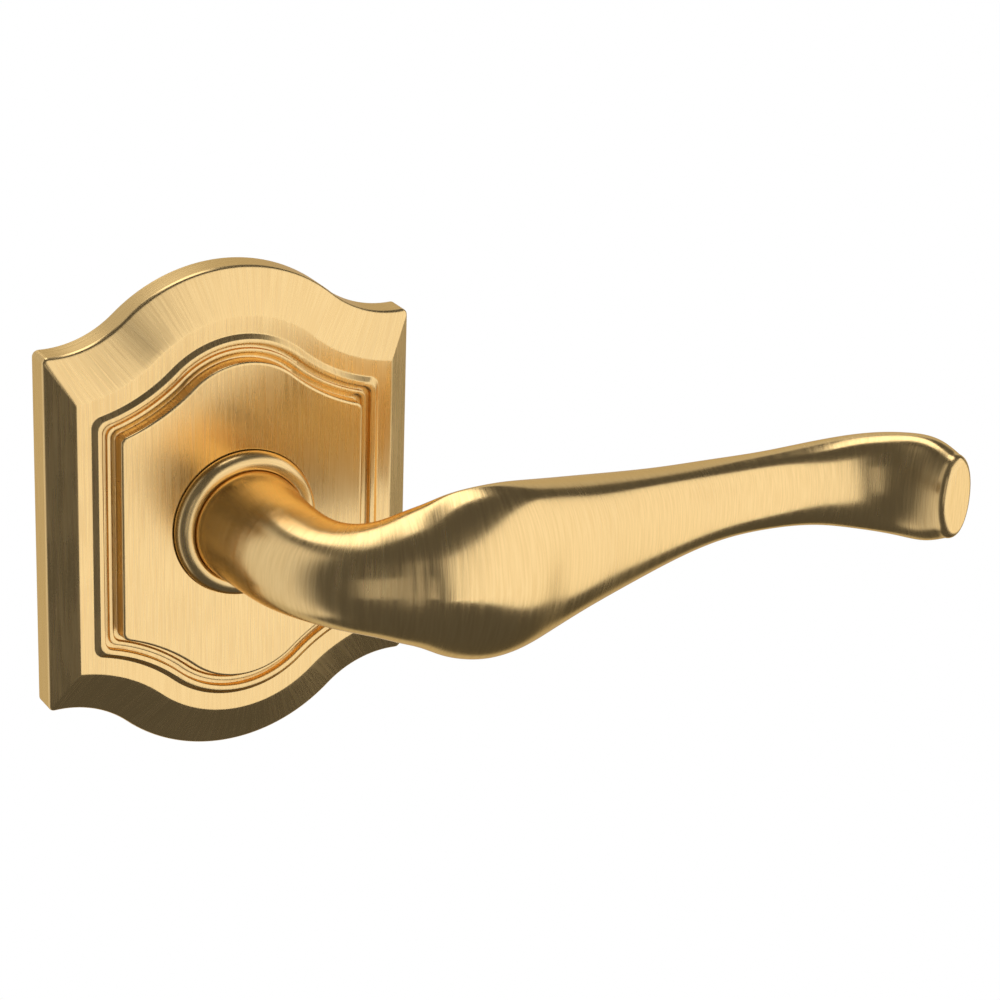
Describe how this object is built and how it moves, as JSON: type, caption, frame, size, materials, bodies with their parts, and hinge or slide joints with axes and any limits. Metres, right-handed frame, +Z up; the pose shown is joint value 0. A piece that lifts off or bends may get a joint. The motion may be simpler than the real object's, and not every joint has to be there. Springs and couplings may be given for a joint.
{
  "type": "lever handle trim",
  "caption": "Door lever handle on a moulded arched rosette, with its spring cassette, square spindle, mounting plate and fixing posts behind.",
  "frame": {"origin": "on the spindle's axis, where it passes through the plane of the door's face", "axes": "+Y into the door along the spindle's axis, +X along the lever towards its tip, +Z up"},
  "size_m": [0.1558, 0.1007, 0.0872],
  "materials": {
    "rosette_brass": "satin, brushed upright",
    "collar_brass": "satin, brushed round",
    "lever_brass": "satin, brushed across its length",
    "screw_steel": "black oxide",
    "spindle_steel": "drawn, zinc plated",
    "post_steel": "turned, zinc plated",
    "plate_steel": "stamped, zinc plated",
    "zinc": "die-cast zinc alloy",
    "spring_steel": "tempered spring steel",
    "nylon": "moulded nylon"
  },
  "bodies": {
    "door_trim": {"rosette": "rosette_brass", "rose_collar": "collar_brass", "bearing_bush": "nylon", "cassette_housing": "zinc", "cassette_cover": "plate_steel", "return_spring_left": "spring_steel", "return_spring_right": "spring_steel", "mounting_plate": "plate_steel", "post_upper": "post_steel", "post_lower": "post_steel", "cassette_screw_1": "screw_steel", "cassette_screw_2": "screw_steel", "cassette_screw_3": "screw_steel", "cassette_screw_4": "screw_steel", "rose_clip_left": "spring_steel", "rose_clip_right": "spring_steel", "rose_set_screw": "screw_steel"},
    "lever": {"lever_handle": "lever_brass", "lever_set_screw": "screw_steel", "spindle": "spindle_steel", "thrust_washer": "spring_steel", "retaining_ring": "spring_steel", "spring_hub": "zinc", "stop_pin": "spindle_steel"}
  },
  "joints": [
    {"name": "lever_turn", "type": "hinge", "parent": "door_trim", "child": "lever", "pos_m": [0, 0, 0], "axis": [0, 1, 0], "range_deg": [-45, 45], "stiffness_Nm_per_rad": 1.5, "springref_deg": -4.38, "deforming": ["return_spring_left", "return_spring_right"]}
  ]
}
